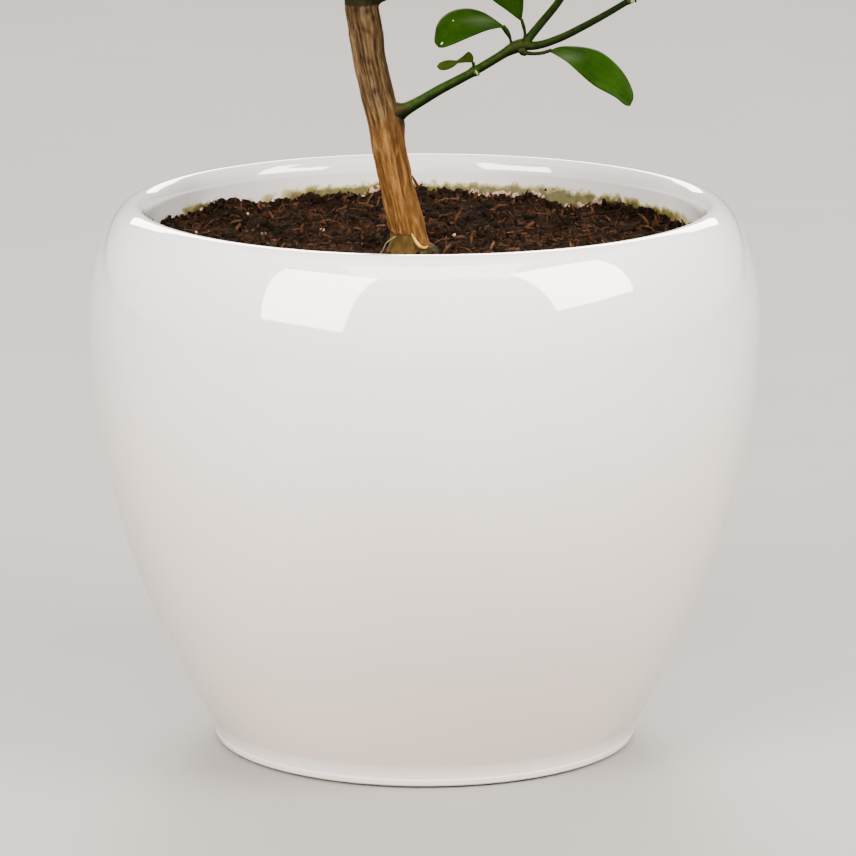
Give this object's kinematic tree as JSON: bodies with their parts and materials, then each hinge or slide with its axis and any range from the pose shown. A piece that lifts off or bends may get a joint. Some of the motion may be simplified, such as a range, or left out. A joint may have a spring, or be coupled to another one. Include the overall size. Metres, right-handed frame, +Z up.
{
  "type": "potted calamondin orange tree",
  "caption": "Small calamondin orange tree with a leaning trunk, a low green shoot and a round leafy crown with small fruit, in a round white glazed pot filled with soil.",
  "frame": {"origin": "centre of the pot's flat underside", "axes": "+Z up the pot's axis, +X towards the side that the low green shoot leans to, +Y towards the back"},
  "size_m": [0.2876, 0.2839, 0.5406],
  "materials": {
    "glaze": "smooth glossy white glaze",
    "soil": "dark crumbly potting mix with reddish coir fibres",
    "bark": "ridged grey-brown bark, warmer lower down",
    "green_stem": "smooth dark green stem",
    "foliage": "glossy dark green leaves, with small orange fruit"
  },
  "bodies": {
    "root": {"bough_high_1": "bark", "bough_high_2": "bark", "bough_high_3": "bark", "bough_high_4": "bark", "bough_leader": "bark", "bough_low_1": "bark", "bough_low_2": "bark", "bough_low_3": "bark", "bough_low_4": "bark", "bough_low_5": "bark", "mass_high_1": "foliage", "mass_high_2": "foliage", "mass_high_3": "foliage", "mass_high_4": "foliage", "mass_low_1": "foliage", "mass_low_2": "foliage", "mass_low_3": "foliage", "mass_low_4": "foliage", "mass_low_5": "foliage", "mass_shoot": "foliage", "mass_top": "foliage", "pot": "glaze", "shoot_bough": "green_stem", "soil": "soil", "trunk": "bark"}
  },
  "joints": []
}
